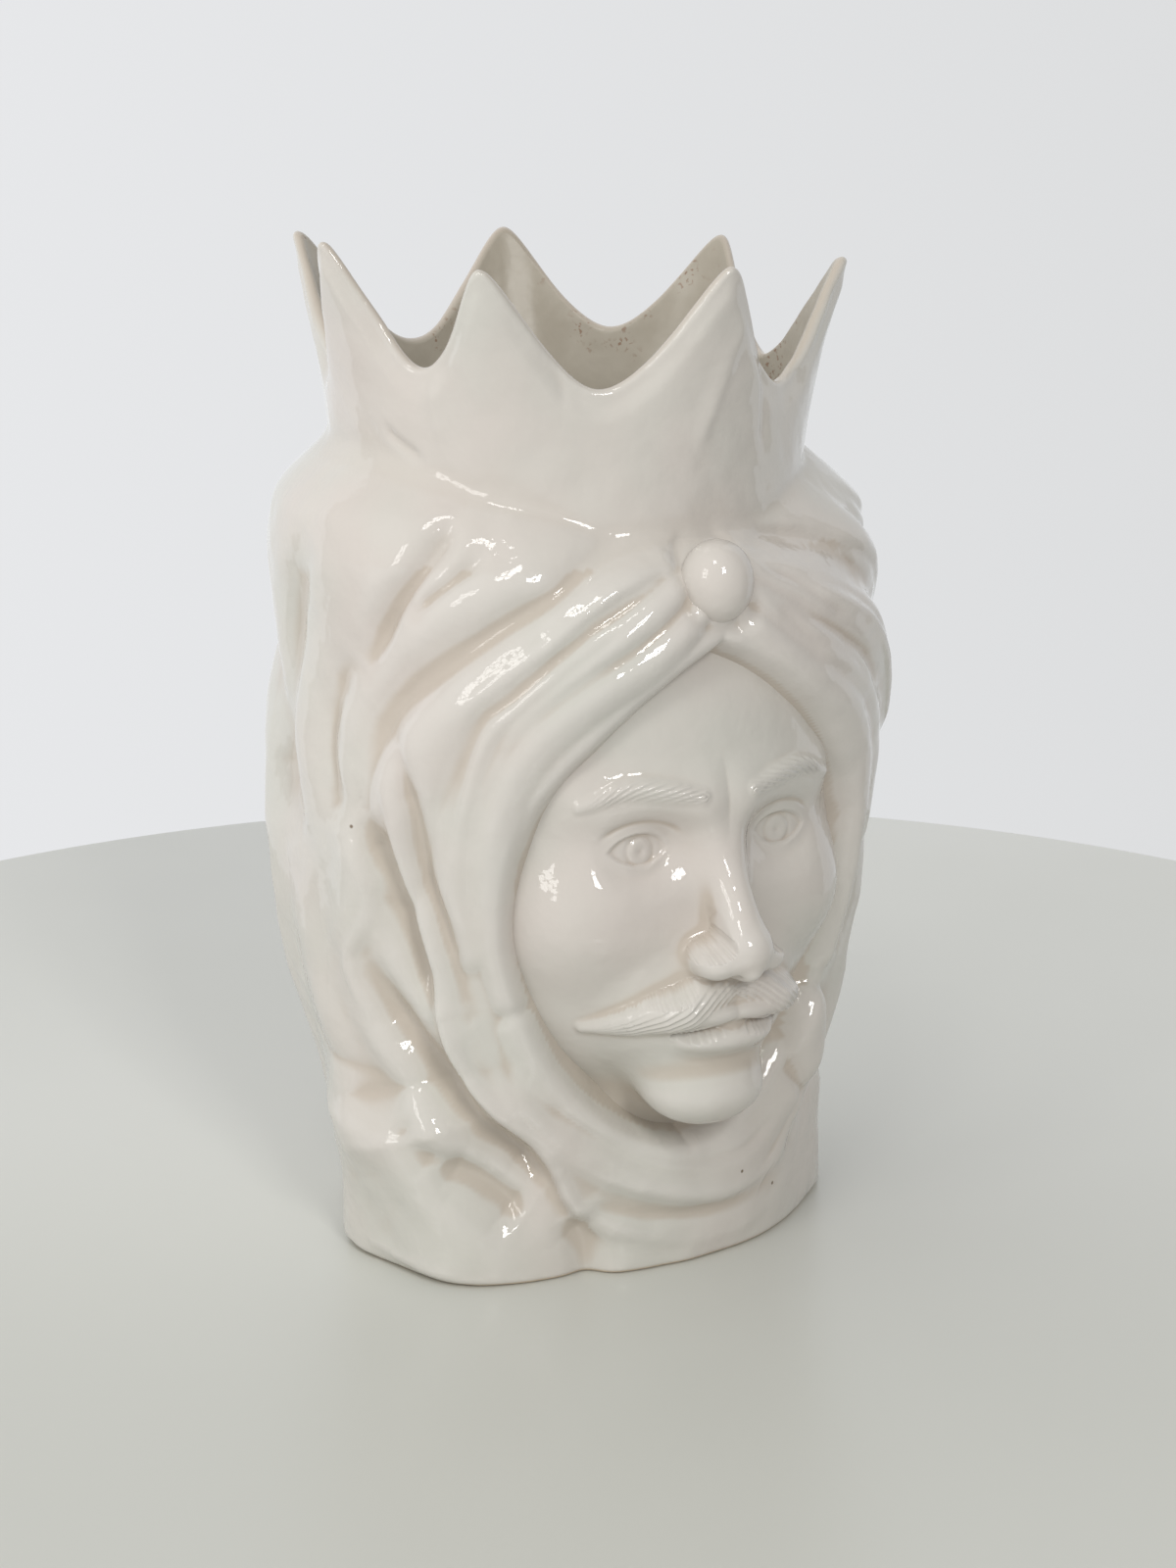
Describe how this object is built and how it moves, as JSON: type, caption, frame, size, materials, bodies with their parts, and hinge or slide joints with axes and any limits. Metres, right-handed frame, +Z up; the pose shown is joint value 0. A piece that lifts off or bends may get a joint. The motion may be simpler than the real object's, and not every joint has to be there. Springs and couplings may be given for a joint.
{
  "type": "head vase",
  "caption": "Hollow ceramic vase shaped as a veiled head under an open pointed crown, glazed off-white, standing on a flat foot.",
  "frame": {"origin": "middle of the vase's bounding box, on the surface it stands on", "axes": "+Z up; the face looks along -Y; the figure's own left is +X"},
  "size_m": [0.1898, 0.2024, 0.3065],
  "materials": {
    "glaze": "glossy warm off-white glaze, slightly uneven",
    "bare_clay": "unglazed fired clay, matt"
  },
  "bodies": {
    "root": {"veil_shell": "glaze", "floor_disc": "bare_clay", "crown": "glaze", "face_mask": "glaze", "turban_jewel": "glaze", "jaw_fold_left": "glaze", "hem_roll_right": "glaze", "hem_roll_left": "glaze", "chin_scarf_roll": "glaze", "turban_pleat_right_lower": "glaze", "turban_pleat_right_upper": "glaze", "turban_pleat_left_lower": "glaze", "turban_pleat_left_upper": "glaze", "moustache_right": "glaze", "eyebrow_right": "glaze", "moustache_left": "glaze", "eyebrow_left": "glaze"}
  },
  "joints": []
}
